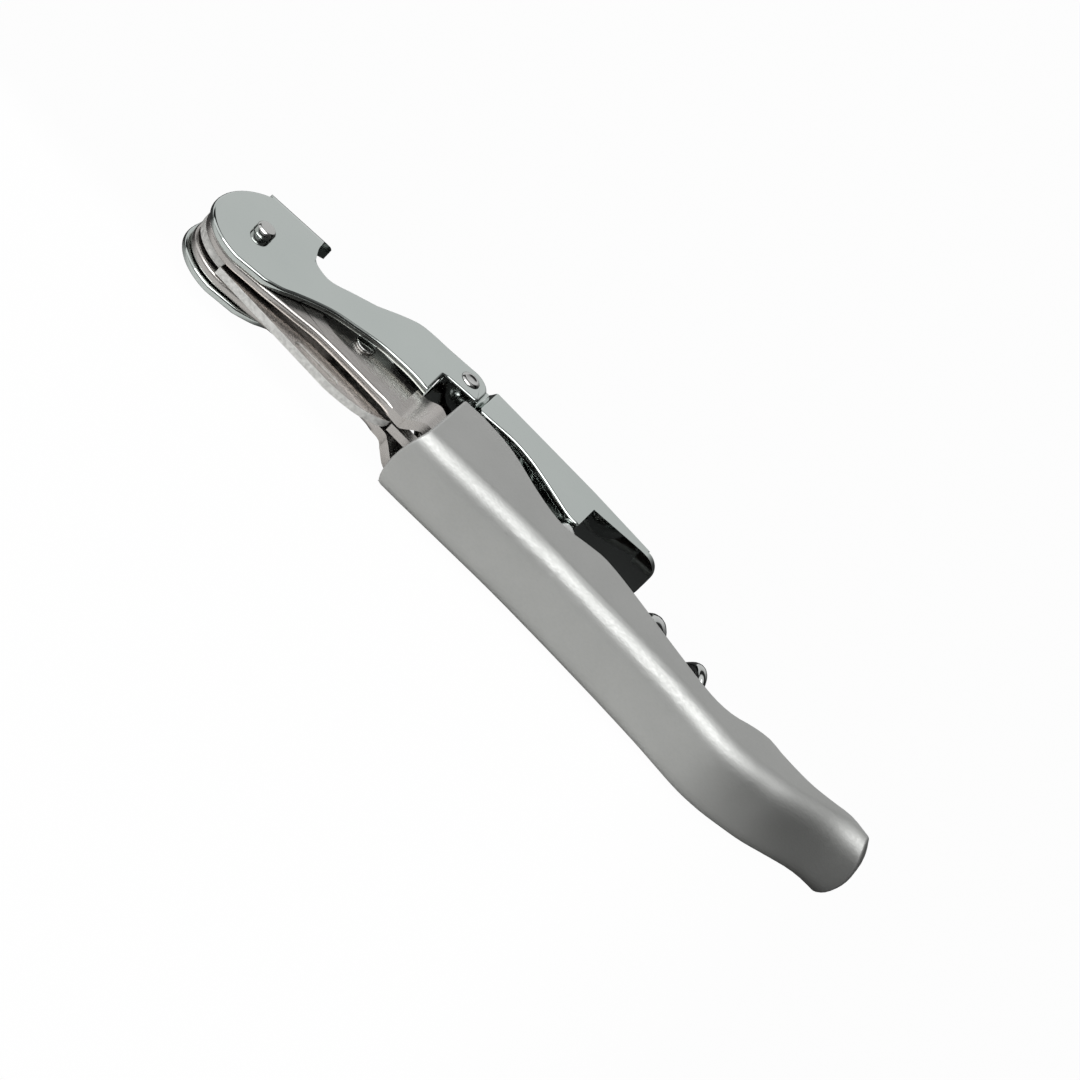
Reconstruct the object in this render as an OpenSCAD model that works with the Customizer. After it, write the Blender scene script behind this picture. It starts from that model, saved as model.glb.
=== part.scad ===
// Two-step waiter's corkscrew, folded shut and lying on its far side.
// Bench axes: X from the rounded head to the tail, Y from the spine to the belly, Z across the tool.
// The rivets stand along Z. The origin is under the middle of the folded tool, on the face it rests on.

/* [Handle shell] */
// Distance from the head end to the rim of the handle shell
neck_len = 41; // [39:0.5:43]
// Length of the handle shell
shell_len = 79; // [70:1:90]
// Width of the handle shell across its two flat sides
shell_w = 11.4; // [11:0.1:13]
// Height of the handle shell at its head end
shell_h = 13.4; // [12.6:0.1:15]
// Thickness of the shell's wall
shell_t = 1; // [0.7:0.05:1.2]
// Radius of the two long corners beside the spine
shell_corner_r = 3; // [2:0.1:3.8]
// How far the spine is crowned outwards at its middle
spine_crown = 0.35; // [0:0.05:0.6]
// How far the rim bulges towards the head at the middle of the spine
rim_bulge = 1.2; // [0.4:0.1:1.6]
// How far the tail bulges at its middle
tail_bulge = 2.1; // [0.8:0.1:2.6]

/* [Frame] */
// Clear width of the slot between the two cheeks
slot_w = 2; // [1.8:0.05:2.2]
// Thickness of the frame's metal
cheek_t = 1.4; // [1:0.05:1.5]
// Radius of the frame's rounded head
frame_head_r = 7.1; // [6.6:0.05:7.2]
// Length of the frame, head to the end inside the handle
frame_len = 80; // [70:1:86]
// Thickness of the narrow tongue that the web sends out behind the blade's point
stop_t = 1.25; // [1:0.05:1.4]
// Depth of the panel pressed into each cheek
panel_depth = 0.6; // [0.3:0.05:0.7]
// Height of the spine edge of the neck over the spine plane
neck_spine_h = 3.35; // [2.9:0.05:3.8]
// Height of the belly edge of the neck over the spine plane
neck_belly_h = 12.3; // [11.6:0.1:12.8]

/* [Lever arm] */
// Thickness of the lever sheet
lever_t = 1.1; // [0.9:0.05:1.2]
// Radius of the lever arm's rounded head
arm_head_r = 7.6; // [7.4:0.05:8]
// Distance along the tool from the head rivet to the joint rivet
arm_len = 32.1; // [31:0.1:33.5]
// Rise from the head rivet to the joint rivet
arm_rise = 11.7; // [11.2:0.1:12.4]
// Radius of the ear round the joint rivet
ear_r = 2.75; // [2.4:0.05:3]
// Free gap between a cheek of the frame and the lever beside it
lever_gap = 0.15; // [0.1:0.01:0.2]
// Clear width between the two folded tabs of the cap lifter's lip, where the open blade passes
lip_slot_w = 2.2; // [2:0.1:3]
// How far the lip's tabs reach over the notch
lip_reach = 1.5; // [0.5:0.1:1.6]
// Outer radius of the fold between a plate and its lip tab
lip_fold_r = 1.6; // [1.2:0.1:1.8]
// Thickness of the lip at its working end
lip_edge_t = 0.4; // [0.3:0.05:0.8]

/* [Foot arm] */
// Distance from the joint rivet to the end of the tongue
foot_len = 35; // [33:0.5:38]
// Height of the foot arm from its toe to its back
foot_h = 9; // [8.6:0.05:9.1]
// Radius of the two rounded corners of the tongue
tongue_round = 2.5; // [1.6:0.1:3]
// Radius of the ears that turn inside the lever arm's
foot_ear_r = 2; // [1.7:0.05:2.05]

/* [Worm] */
// Outer radius of the coil
coil_r = 4.25; // [3.6:0.05:4.3]
// Thickness of the worm's wire
wire_d = 2.8; // [2.2:0.1:2.9]
// Advance of the coil in one turn
coil_pitch = 8.4; // [7.4:0.1:9.4]
// Distance from the worm's pin to the point of the worm
worm_len = 63; // [58:1:68]
// How far the folded worm leans out towards the belly, in degrees
worm_lean = 0.45; // [0:0.05:0.5]
// Thickness of the worm's flattened shank
shank_t = 1.8; // [1.5:0.05:1.85]
// Radius of the eye at the end of the shank
eye_r = 2.6; // [2.2:0.05:2.8]

/* [Knife] */
// Thickness of the blade
blade_t = 1.25; // [1:0.05:1.4]
// Gap between the blade's point and the frame's tongue
point_gap = 0.3; // [0.3:0.1:2]
// Radius of the blade's tang
tang_r = 6.9; // [6.2:0.05:7]
// Height of the blade from its back to its edge
blade_h = 6.9; // [6.2:0.1:7]

/* [Rivets] */
// Distance of the head rivet from the head end
pivot_x = 7.3; // [7.1:0.05:7.5]
// Distance of the head rivet from the spine plane
pivot_y = 8.6; // [8.5:0.05:8.8]
// Radius of the head rivet's and the joint rivet's shafts
rivet_r = 1.1; // [0.9:0.05:1.2]
// Radius of the head rivet's heads
rivet_head_r = 1.45; // [1.3:0.05:1.8]
// Height of the head rivet's heads
rivet_head_h = 1.15; // [0.6:0.05:1.4]
// Height of the joint rivet's domed heads
dome_h = 0.55; // [0.3:0.05:0.9]
// Distance of the worm's pin from the head end
pin_x = 26.8; // [26.2:0.1:27.4]
// Distance of the worm's pin from the spine plane
pin_y = 10.1; // [9.9:0.05:10.3]
// Radius of the worm's pin
pin_r = 1; // [0.8:0.05:1.1]
// Radius of the heads of the worm's pin
pin_head_r = 1.55; // [1.3:0.05:1.8]
// Height of the heads of the worm's pin
pin_head_h = 0.5; // [0.25:0.05:0.6]
// Gap between a shaft and the hole that turns on it
fit_gap = 0.04; // [0.02:0.01:0.06]

/* [Hidden] */

$fn = 64;
cut = 1;
bend_steps = 6;

// The shell's spine and belly edge, as shares of its length and of its height at the rim
spine_shares = [
    [0, -0.067], [0.05, -0.06], [0.266, 0], [0.473, -0.015], [0.605, -0.052], [0.7, -0.11],
    [0.73, -0.112], [0.77, -0.08], [0.81, -0.015], [0.852, 0.067], [0.905, 0.224], [0.95, 0.35], [1, 0.4],
];
belly_shares = [
    [0, 0.925], [0.045, 0.948], [0.115, 0.9], [0.2, 0.69], [0.264, 0.597], [0.32, 0.68],
    [0.356, 0.724], [0.42, 0.664], [0.56, 0.46], [0.645, 0.358], [0.69, 0.384], [0.73, 0.5],
    [0.765, 0.56], [0.8, 0.53], [0.865, 0.525], [0.91, 0.58], [0.955, 0.648], [1, 0.6],
];
shell_stations = 64;
corner_steps = 6;
// The trough's floor climbs to the belly edge between these shares of the length
tail_fill_shares = [0.9, 0.975];
// The crown has faded out at this share of the shell's height
crown_fade_share = 0.6;
// Points across the spine between its two corners
crown_steps = 6;
// The rim's bow has faded out, and the tail's begins, at these shares of the length
bow_shares = [0.125, 0.9];

body_len = neck_len + shell_len;
shell_half = shell_w / 2;
shell_in_r = shell_corner_r / 2;
spine_low = min([for (p = spine_shares) p[1]]) * shell_h - spine_crown;

// Where the frame's cheeks swell out to the width of the handle, as shares of the neck
flare_shares = [0.89, 0.98];
flare_steps = 8;
web_from = neck_len * 0.985;
web_y = neck_spine_h - cheek_t * 0.4;
// The tongue behind the blade's point, and how deep it stands in the slot
stop_from = neck_len * 0.893;
stop_deep = cheek_t * 1.5;
cheek_in = slot_w / 2;
cheek_out = cheek_in + cheek_t;
frame_half = shell_half - shell_t;
// The height of the frame's side walls inside the handle, as shares of the neck's height
wall_near_share = 0.53;
wall_far_share = 0.42;
// The pressed panel's outline, as shares of the neck's length and belly height
panel_shares = [
    [0.5, 0.55], [0.56, 0.49], [0.66, 0.47], [0.87, 0.47], [0.87, 1.02], [0.5, 1.02], [0.49, 0.72],
];

plate_in = cheek_out + lever_gap;
plate_out = plate_in + lever_t;
ear_in = plate_in - lever_t - fit_gap;
joint_x = pivot_x + arm_len;
joint_y = pivot_y + arm_rise;
// The lever arm's outline, as shares of its length and rise, measured from the head rivet
cap_notch_shares = [[0.181, 0.8], [0.19, 0.62], [0.219, 0.44], [0.26, 0.365], [0.325, 0.353], [0.412, 0.508]];
arm_back_shares = [[0.52, 0.7], [0.63, 0.98], [0.711, 1.118], [0.85, 1.17]];
step_one_shares = [
    [1.0857, 0.808], [1.082, 0.785], [1.073, 0.768], [0.921, 0.697], [0.911, 0.682],
    [0.907, 0.654], [0.91, 0.4], [0.913, 0.188],
];
// The flange folded inwards along the top of the first step: where it runs, and its share of the sheet
flange_shares = [0.911, 1.073];
flange_thin = 0.82;
arm_belly_shares = [
    [0.913, 0.188], [0.826, 0.215], [0.735, 0.197], [0.645, 0.155], [0.52, 0.027], [0.436, -0.067],
    [0.36, -0.208], [0.283, -0.383], [0.228, -0.525], [0.15, -0.655],
];
shoulder_r = arm_head_r * 1.66;
shoulder_turn = 133;
web_two_shares = [0.723, 0.9];

foot_top = joint_y + foot_h * 0.295;
// The foot arm's outline, as shares of its length and height, measured from the joint rivet
foot_belly_shares = [
    [0.052, -0.184], [0.08, -0.18], [0.1, -0.283], [0.118, -0.397], [0.19, -0.364], [0.277, -0.316],
    [0.369, -0.359], [0.46, -0.472], [0.554, -0.614], [0.617, -0.703], [0.66, -0.7], [0.669, -0.66],
];
// Where the underside of the second step meets the notch, and where the plates end, as shares
lip_shares = [[0.669, -0.067], [0.903, 0.076]];
// The back slopes down to the tongue over the second step
foot_end_shares = [[0.929, 0.235], [0.915, 0.24], [0.62, 0.295]];
// The ears step out to the lever's width between these shares of the length
joggle_shares = [0.083, 0.108];
joggle_steps = 6;
foot_web_share = 0.1;
// The web drops to the underside of the step between these shares of the length
drop_shares = [0.612, 0.664];

coil_mid_r = coil_r - wire_d / 2;
worm_tip_x = pin_x + worm_len;
coil_from = neck_len - wire_d;
coil_full = coil_from + coil_pitch * 0.6;
ring_steps = 24;
wire_sides = 10;
point_len = coil_pitch * 0.9;
point_r = wire_d * 0.06;
// Turn of the wire at the worm's point, from the belly towards the near side
point_turn = 162;

blade_half = blade_t / 2;
blade_len = stop_from - point_gap - pivot_x;
// The blade's outline, as shares of its reach and height, measured from the head rivet and the blade's back
back_shares = [
    [-0.014, 0.1], [0.574, 0.007], [0.711, 0], [0.845, 0.12], [0.911, 0.256], [0.976, 0.45], [1, 0.62],
];
blade_back_y = pivot_y - blade_h * 1.32;
edge_share = 1;
edge_from_share = 0.36;
edge_to_share = 0.9;
choil_share = 0.16;
scallops = 12;
scallop_deep = blade_h * 0.035;
grind_from_share = 0.5;
edge_t = blade_t * 0.12;
nick_shares = [0.48, 0.7];
nick_share_y = 0.15;
nick_deep = blade_t * 0.2;
shim_t = (slot_w - blade_t) / 2 - fit_gap;
shim_r = tang_r * 0.6;

mid_y = (joint_y + ear_r + spine_low) / 2;

// The place in a table of [x, y] rows where x falls
function row_of(table, x, i = 0) =
    i >= len(table) - 2 || x <= table[i + 1][0] ? i : row_of(table, x, i + 1);

function slope_at(table, i) =
    let (a = table[max(i - 1, 0)], b = table[min(i + 1, len(table) - 1)])
    (b[1] - a[1]) / (b[0] - a[0]);

// Height of the smooth line through a table's rows at x
function smooth_at(table, x) =
    let (
        i = row_of(table, x),
        a = table[i],
        b = table[i + 1],
        w = b[0] - a[0],
        t = (x - a[0]) / w
    )
    (2 * t ^ 3 - 3 * t ^ 2 + 1) * a[1] + (t ^ 3 - 2 * t ^ 2 + t) * w * slope_at(table, i)
    + (3 * t ^ 2 - 2 * t ^ 3) * b[1] + (t ^ 3 - t ^ 2) * w * slope_at(table, i + 1);

// From 0 to 1, starting and ending level
function ease(t) = let (s = min(max(t, 0), 1)) s * s * (3 - 2 * s);

function arc_points(centre, r, from, to, steps) =
    [for (i = [0 : steps]) let (a = from + (to - from) * i / steps) centre + r * [cos(a), sin(a)]];

// A smooth curve through the points, with the ends kept
function curve_points(p, steps = bend_steps) = [
    for (i = [0 : len(p) - 2])
        let (
            before = p[max(i - 1, 0)],
            after = p[min(i + 2, len(p) - 1)],
            out = (p[i + 1] - before) / 2,
            into = (after - p[i]) / 2
        )
        for (k = [0 : steps - 1])
            let (t = k / steps)
            (2 * t ^ 3 - 3 * t ^ 2 + 1) * p[i] + (t ^ 3 - 2 * t ^ 2 + t) * out
            + (3 * t ^ 2 - 2 * t ^ 3) * p[i + 1] + (t ^ 3 - t ^ 2) * into,
    p[len(p) - 1],
];

// Points given as shares of a length and a height, measured from a base point
function at(base, size, shares) = [for (s = shares) base + [s[0] * size[0], s[1] * size[1]]];

// Puts the bench axes under the middle of the folded tool
module bench() {
    translate([-body_len / 2, -mid_y, shell_half]) children();
}

// An outline in the side view, standing from one height across the tool to another
module slab(z_from, z_to) {
    translate([0, 0, z_from]) linear_extrude(height = z_to - z_from) children();
}

// The same slab on the near and on the far side
module both_sides(z_from, z_to) {
    slab(z_from, z_to) children();
    slab(-z_to, -z_from) children();
}

// An outline drawn from above, in X and Z, standing from the spine towards the belly
module upright(y_from, y_to) {
    translate([0, y_to, 0]) rotate([90, 0, 0]) linear_extrude(height = y_to - y_from) children();
}

module pin_hole(x, y, r, reach) {
    translate([x, y, -reach]) cylinder(r = r, h = 2 * reach);
}

// Points across the spine, between its two corners
function across(y, half) = [for (i = [1 : crown_steps - 1]) [y, half * (1 - 2 * i / crown_steps)]];

// One ring of the shell: outside from the near edge to the far edge, and back along the inside
function shell_ring(u) =
    let (
        spine = smooth_at(spine_shares, u) * shell_h,
        belly = smooth_at(belly_shares, u) * shell_h,
        fill = ease((u - tail_fill_shares[0]) / (tail_fill_shares[1] - tail_fill_shares[0])),
        floor_y = spine + shell_t + (belly - spine - shell_t) * fill,
        in_drop = min(shell_in_r, belly - floor_y),
        r_out = min(shell_corner_r, (belly - spine) * 0.9),
        out_near = concat(
            [[belly, shell_half]],
            [for (i = [0 : corner_steps]) let (a = 90 * i / corner_steps)
                [spine + r_out * (1 - sin(a)), shell_half - shell_corner_r * (1 - cos(a))]]
        ),
        in_near = concat(
            [[belly, frame_half]],
            [for (i = [0 : corner_steps]) let (a = 90 * i / corner_steps)
                [floor_y + in_drop * (1 - sin(a)), frame_half - shell_in_r * (1 - cos(a))]]
        ),
        out_all = concat(
            out_near,
            across(spine, shell_half - shell_corner_r),
            [for (i = [len(out_near) - 1 : -1 : 0]) [out_near[i][0], -out_near[i][1]]]
        ),
        in_all = concat(
            in_near,
            across(floor_y, frame_half - shell_in_r),
            [for (i = [len(in_near) - 1 : -1 : 0]) [in_near[i][0], -in_near[i][1]]]
        )
    )
    [for (p = concat(out_all, [for (i = [len(in_all) - 1 : -1 : 0]) in_all[i]]))
        [shell_x(u, p), p[0] - crown_at(p), p[1]]];

// The spine's crown fades out towards the two sides and up the walls
function crown_at(p) =
    let (up = min(max(p[0] / (shell_h * crown_fade_share), 0), 1))
    spine_crown * (1 - (p[1] / shell_half) ^ 2) * (1 - up);

// The rim bows towards the head at the spine's middle, and the tail bows outwards
function shell_x(u, p) =
    let (
        over = 1 - (p[1] / shell_half) ^ 2,
        down = 1 - min(max(p[0] / shell_h, 0), 1)
    )
    neck_len + u * (shell_len - tail_bulge)
    - rim_bulge * over * down * (1 - ease(u / bow_shares[0]))
    + tail_bulge * over * ease((u - bow_shares[1]) / (1 - bow_shares[1]));

module handle_shell() {
    rings = [for (i = [0 : shell_stations]) shell_ring(i / shell_stations)];
    n = len(rings[0]);
    half = n / 2;
    skin = [
        for (i = [0 : shell_stations - 1])
            for (k = [0 : n - 1])
                let (a = i * n + k, b = i * n + (k + 1) % n, c = b + n, d = a + n)
                for (f = [[a, b, c], [a, c, d]]) f,
    ];
    last = shell_stations * n;
    caps = [
        for (k = [0 : half - 2])
            let (a = k, b = k + 1, c = n - 2 - k, d = n - 1 - k)
            for (f = [[a, c, b], [a, d, c], [last + a, last + b, last + c], [last + a, last + c, last + d]]) f,
    ];
    color("#b4b6b6") bench() polyhedron(points = [for (r = rings) for (p = r) p], faces = concat(skin, caps));
}

// The frame seen from the side: round head, neck, and low walls inside the handle
module frame_side() {
    c = [arm_head_r, arm_head_r];
    spine_edge = curve_points([
        [neck_len * 0.92, web_y],
        [neck_len * 0.86, neck_spine_h],
        [neck_len * 0.57, neck_spine_h],
        [neck_len * 0.44, neck_spine_h * 0.72],
        [neck_len * 0.32, neck_spine_h * 0.4],
    ]);
    polygon(concat(
        spine_edge,
        arc_points(c, frame_head_r, 285, 50, 40),
        curve_points([
            [neck_len * 0.35, neck_belly_h],
            [neck_len * 0.6, neck_belly_h],
            [neck_len * 0.84, neck_belly_h * 0.97],
            [neck_len * 0.93, neck_belly_h * 0.8],
            [neck_len * 1.02, neck_belly_h * 0.58],
            [neck_len * 1.12, neck_belly_h * wall_near_share],
        ]),
        [[frame_len, neck_belly_h * wall_far_share], [frame_len, web_y]]
    ));
}

// Distance from the mid-plane to a cheek's face, along the neck
function flare_at(x, z_neck, z_handle) =
    z_neck + (z_handle - z_neck) * ease((x / neck_len - flare_shares[0]) / (flare_shares[1] - flare_shares[0]));

module cheeks_from_above(lead = cheek_t * 0.3) {
    xs = [for (i = [0 : flare_steps]) neck_len * (flare_shares[0] + (flare_shares[1] - flare_shares[0]) * i / flare_steps)];
    polygon(concat(
        [[-cut, cheek_out]],
        [for (x = xs) [x, flare_at(x, cheek_out, frame_half)]],
        [[frame_len + cut, frame_half], [frame_len + cut, frame_half - cheek_t]],
        [for (i = [flare_steps : -1 : 0]) [xs[i] + lead, flare_at(xs[i], cheek_in, frame_half - cheek_t)]],
        [[-cut, cheek_in]]
    ));
}

module web_from_above() {
    xs = [for (i = [0 : flare_steps]) neck_len * (flare_shares[0] + (flare_shares[1] - flare_shares[0]) * i / flare_steps)];
    polygon(concat(
        [[web_from, 0], [web_from, flare_at(web_from, cheek_out, frame_half)]],
        [for (x = xs) if (x > web_from) [x, flare_at(x, cheek_out, frame_half)]],
        [[frame_len, frame_half], [frame_len, 0]]
    ));
}

module frame() {
    color("#a8aaaa") bench() difference() {
        union() {
            intersection() {
                slab(-frame_half, frame_half) frame_side();
                upright(-cut, neck_belly_h + arm_head_r) {
                    cheeks_from_above();
                    mirror([0, 1]) cheeks_from_above();
                }
            }
            intersection() {
                slab(-frame_half, frame_half) frame_side();
                upright(-cut, web_y + cheek_t) {
                    web_from_above();
                    mirror([0, 1]) web_from_above();
                }
            }
            slab(-stop_t / 2, stop_t / 2) translate([stop_from, neck_spine_h])
                square([web_from + cheek_t - stop_from, stop_deep]);
        }
        both_sides(cheek_out - panel_depth, cheek_out + cut)
            polygon(curve_panel());
        pin_hole(pivot_x, pivot_y, rivet_r + fit_gap, shell_half);
        pin_hole(pin_x, pin_y, pin_r + fit_gap, shell_half);
    }
}

function curve_panel() = at([0, 0], [neck_len, neck_belly_h], panel_shares);

// A shaft with a flat-topped head with a chamfered rim at each end
module headed_pin(x, y, r, reach, head_r, head_h) {
    rim = head_h * 0.25;
    translate([x, y, 0]) rotate_extrude() polygon([
        [0, -reach - head_h], [head_r - rim, -reach - head_h], [head_r, -reach - head_h + rim],
        [head_r, -reach], [r, -reach], [r, reach], [head_r, reach],
        [head_r, reach + head_h - rim], [head_r - rim, reach + head_h], [0, reach + head_h],
    ]);
}

module head_rivet() {
    color("#c8caca") bench()
        headed_pin(pivot_x, pivot_y, rivet_r, plate_out + fit_gap, rivet_head_r, rivet_head_h);
}

module worm_pin() {
    color("#b0b2b2") bench()
        headed_pin(pin_x, pin_y, pin_r, cheek_out - panel_depth + fit_gap / 4, pin_head_r, pin_head_h);
}

// A shaft whose ends are upset into shallow domes
module joint_rivet() {
    head_r = rivet_head_r;
    reach = plate_out + fit_gap / 4;
    ball_r = (head_r ^ 2 + dome_h ^ 2) / (2 * dome_h);
    open = asin(head_r / ball_r);
    dome = [for (i = [0 : 8]) let (a = open * i / 8) [ball_r * sin(a), reach + dome_h - ball_r * (1 - cos(a))]];
    color("#c8caca") bench() translate([joint_x, joint_y, 0]) rotate_extrude() polygon(concat(
        dome,
        [[rivet_r, reach], [rivet_r, -reach]],
        [for (i = [8 : -1 : 0]) [dome[i][0], -dome[i][1]]]
    ));
}

module knife_shim(z_from) {
    color("#9a9c9c") bench() translate([pivot_x, pivot_y, z_from]) difference() {
        cylinder(r = shim_r, h = shim_t);
        translate([0, 0, -cut]) cylinder(r = rivet_r + fit_gap, h = shim_t + 2 * cut);
    }
}

module knife_shim_near() {
    knife_shim(slot_w / 2 - shim_t);
}

module knife_shim_far() {
    knife_shim(-slot_w / 2);
}

// The blade from the side: straight back, clipped point and a scalloped edge turned into the slot
module blade_side() {
    base = [pivot_x, blade_back_y];
    size = [blade_len, blade_h];
    edge_y = blade_back_y + blade_h * edge_share;
    edge_a = pivot_x + blade_len * edge_from_share;
    edge_b = pivot_x + blade_len * edge_to_share;
    step = (edge_b - edge_a) / scallops;
    scallop_arc = [
        for (i = [scallops - 1 : -1 : 0])
            for (k = [0 : 4])
                let (t = 1 - k / 5)
                [edge_a + step * (i + t), edge_y - scallop_deep * 4 * t * (1 - t)],
    ];
    polygon(concat(
        curve_points(at(base, size, back_shares), 4),
        scallop_arc,
        [[edge_a, edge_y], [edge_a - step, edge_y - blade_h * choil_share], [pivot_x + tang_r * 0.8, edge_y],
            [pivot_x, pivot_y]]
    ));
    translate([pivot_x, pivot_y]) circle(r = tang_r);
}

// The blade's section: full thickness at the back, ground thin towards the edge
module blade_section() {
    grind_y = blade_back_y + blade_h * grind_from_share;
    edge_y = blade_back_y + blade_h * edge_share;
    top = pivot_y + tang_r + cut;
    polygon([
        [blade_back_y - cut, -blade_half], [grind_y, -blade_half], [edge_y, -edge_t / 2], [top, -edge_t / 2],
        [top, edge_t / 2], [edge_y, edge_t / 2], [grind_y, blade_half], [blade_back_y - cut, blade_half],
    ]);
}

module knife_blade() {
    tang_end = pivot_x + tang_r * 1.1;
    color("#d0d2d2") bench() difference() {
        intersection() {
            slab(-blade_half, blade_half) blade_side();
            union() {
                translate([-cut, -2 * blade_h, -blade_half]) cube([tang_end + cut, 6 * blade_h, blade_t]);
                translate([tang_end - cut, 0, 0]) rotate([90, 0, 90])
                    linear_extrude(height = blade_len) blade_section();
            }
        }
        nail_nick();
        pin_hole(pivot_x, pivot_y, rivet_r + fit_gap, blade_t);
    }
}

// A long shallow nick for a fingernail, near the back of the blade
module nail_nick() {
    x_from = pivot_x + blade_len * nick_shares[0];
    x_to = pivot_x + blade_len * nick_shares[1];
    y = blade_back_y + blade_h * nick_share_y;
    wide = blade_h * 0.09;
    slab(blade_half - nick_deep, blade_half + cut) polygon(concat(
        arc_points([x_from, y], wide, 270, 90, 8),
        arc_points([x_to, y], wide, 90, -90, 8)
    ));
}

// The wire's centre line: it leaves the shank on the axis and opens out to the coil
function wire_at(x) =
    let (
        a = point_turn + 360 * (x - worm_tip_x) / coil_pitch,
        r = coil_mid_r * ease((x - coil_from) / (coil_full - coil_from))
    )
    [x, pin_y + r * cos(a), r * sin(a)];

function wire_radius(x) =
    let (t = min((worm_tip_x - x) / point_len, 1))
    point_r + (wire_d / 2 - point_r) * sqrt(max(t, 0));

function unit(v) = v / norm(v);

module wire() {
    count = ceil((worm_tip_x - coil_from) / coil_pitch * ring_steps);
    step = (worm_tip_x - coil_from) / count;
    eps = step / 8;
    rings = [
        for (i = [0 : count])
            let (
                x = coil_from + step * i,
                c = wire_at(x),
                ahead = unit(wire_at(x + eps) - wire_at(x - eps)),
                turn = point_turn + 360 * (x - worm_tip_x) / coil_pitch,
                out = [0, cos(turn), sin(turn)],
                side = unit(cross(ahead, out)),
                up = cross(side, ahead),
                r = wire_radius(x)
            )
            [for (k = [0 : wire_sides - 1]) let (a = 360 * k / wire_sides) c + r * (cos(a) * up + sin(a) * side)],
    ];
    skin = [
        for (i = [0 : count - 1])
            for (k = [0 : wire_sides - 1])
                let (
                    a = i * wire_sides + k,
                    b = i * wire_sides + (k + 1) % wire_sides,
                    c = b + wire_sides,
                    d = a + wire_sides
                )
                for (f = [[a, c, b], [a, d, c]]) f,
    ];
    ends = [
        for (k = [1 : wire_sides - 2])
            for (f = [
                [0, k, k + 1],
                [count * wire_sides, count * wire_sides + k + 1, count * wire_sides + k],
            ]) f,
    ];
    polyhedron(points = [for (r = rings) for (p = r) p], faces = concat(skin, ends));
}

module worm() {
    shank_end = coil_from + wire_d * 0.5;
    color("#a4a6a6") bench() translate([pin_x, pin_y]) rotate(worm_lean) translate([-pin_x, -pin_y]) difference() {
        union() {
            slab(-shank_t / 2, shank_t / 2) {
                translate([pin_x, pin_y]) circle(r = eye_r);
                polygon([
                    [pin_x, pin_y - eye_r * 0.9], [pin_x + eye_r * 1.6, pin_y - wire_d * 0.58],
                    [shank_end, pin_y - wire_d * 0.46], [shank_end, pin_y + wire_d * 0.46],
                    [pin_x + eye_r * 1.6, pin_y + wire_d * 0.58], [pin_x, pin_y + eye_r * 0.9],
                ]);
            }
            wire();
        }
        pin_hole(pin_x, pin_y, pin_r + fit_gap, shank_t);
    }
}

// The lever arm from the side
module arm_side() {
    base = [pivot_x, pivot_y];
    size = [arm_len, arm_rise];
    head = [arm_head_r, arm_head_r];
    shoulder = [shoulder_r, arm_head_r];
    polygon(concat(
        arc_points(head, arm_head_r, 270, 180, 20),
        arc_points(shoulder, shoulder_r, 180, shoulder_turn, 10),
        curve_points(at(base, size, cap_notch_shares), 4),
        curve_points(at(base, size, arm_back_shares)),
        arc_points([joint_x, joint_y], ear_r, 90, 0, 14),
        at(base, size, step_one_shares),
        curve_points(at(base, size, arm_belly_shares), 4)
    ));
}

// One tab of the lip from above: straight along the blade's slot, its far corner rounded off
module lip_tab_from_above(x_from, x_to) {
    corner = plate_out - plate_in + lever_t / 2;
    polygon(concat(
        [[x_from, lip_slot_w / 2], [x_from, plate_out]],
        [for (i = [0 : corner_steps]) let (a = 90 * i / corner_steps)
            [x_to + lip_reach * sin(a), plate_out - corner * (1 - cos(a))]],
        [[x_to + lip_reach, lip_slot_w / 2]]
    ));
}

// The lip's section across the tool: a round fold from a plate into its tab
function lip_section() =
    let (inner_r = lip_fold_r - lever_t)
    concat(
        [[-lever_t, plate_out]],
        [for (i = [0 : corner_steps]) let (a = 90 * i / corner_steps)
            [lip_fold_r * sin(a), plate_out - lip_fold_r * (1 - cos(a))]],
        [[lip_fold_r, lip_slot_w / 2], [inner_r, lip_slot_w / 2]],
        [for (i = [corner_steps : -1 : 0]) let (a = 90 * i / corner_steps)
            [inner_r * sin(a), plate_in - inner_r * (1 - cos(a))]],
        [[-lever_t, plate_in]]
    );

// The cap lifter's lip: a tab folded inwards from the top of each plate, thinned towards its end
module lip(side_from, side_to) {
    run = side_to - side_from;
    reach = norm(run);
    over = reach + lip_reach;
    intersection() {
        translate(side_from) rotate(atan2(run[1], run[0])) difference() {
            rotate([90, 0, 90]) linear_extrude(height = over) {
                polygon(lip_section());
                mirror([0, 1]) polygon(lip_section());
            }
            slab(-plate_out - cut, plate_out + cut) polygon([
                [reach, -2 * lever_t], [reach, lip_fold_r - lever_t], [over, lip_fold_r - lip_edge_t],
                [over + cut, lip_fold_r - lip_edge_t], [over + cut, -2 * lever_t],
            ]);
        }
        upright(side_from[1] - 2 * lever_t, side_to[1] + 2 * lip_fold_r) {
            lip_tab_from_above(side_from[0] - lip_fold_r, side_to[0]);
            mirror([0, 1]) lip_tab_from_above(side_from[0] - lip_fold_r, side_to[0]);
        }
    }
}

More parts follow.
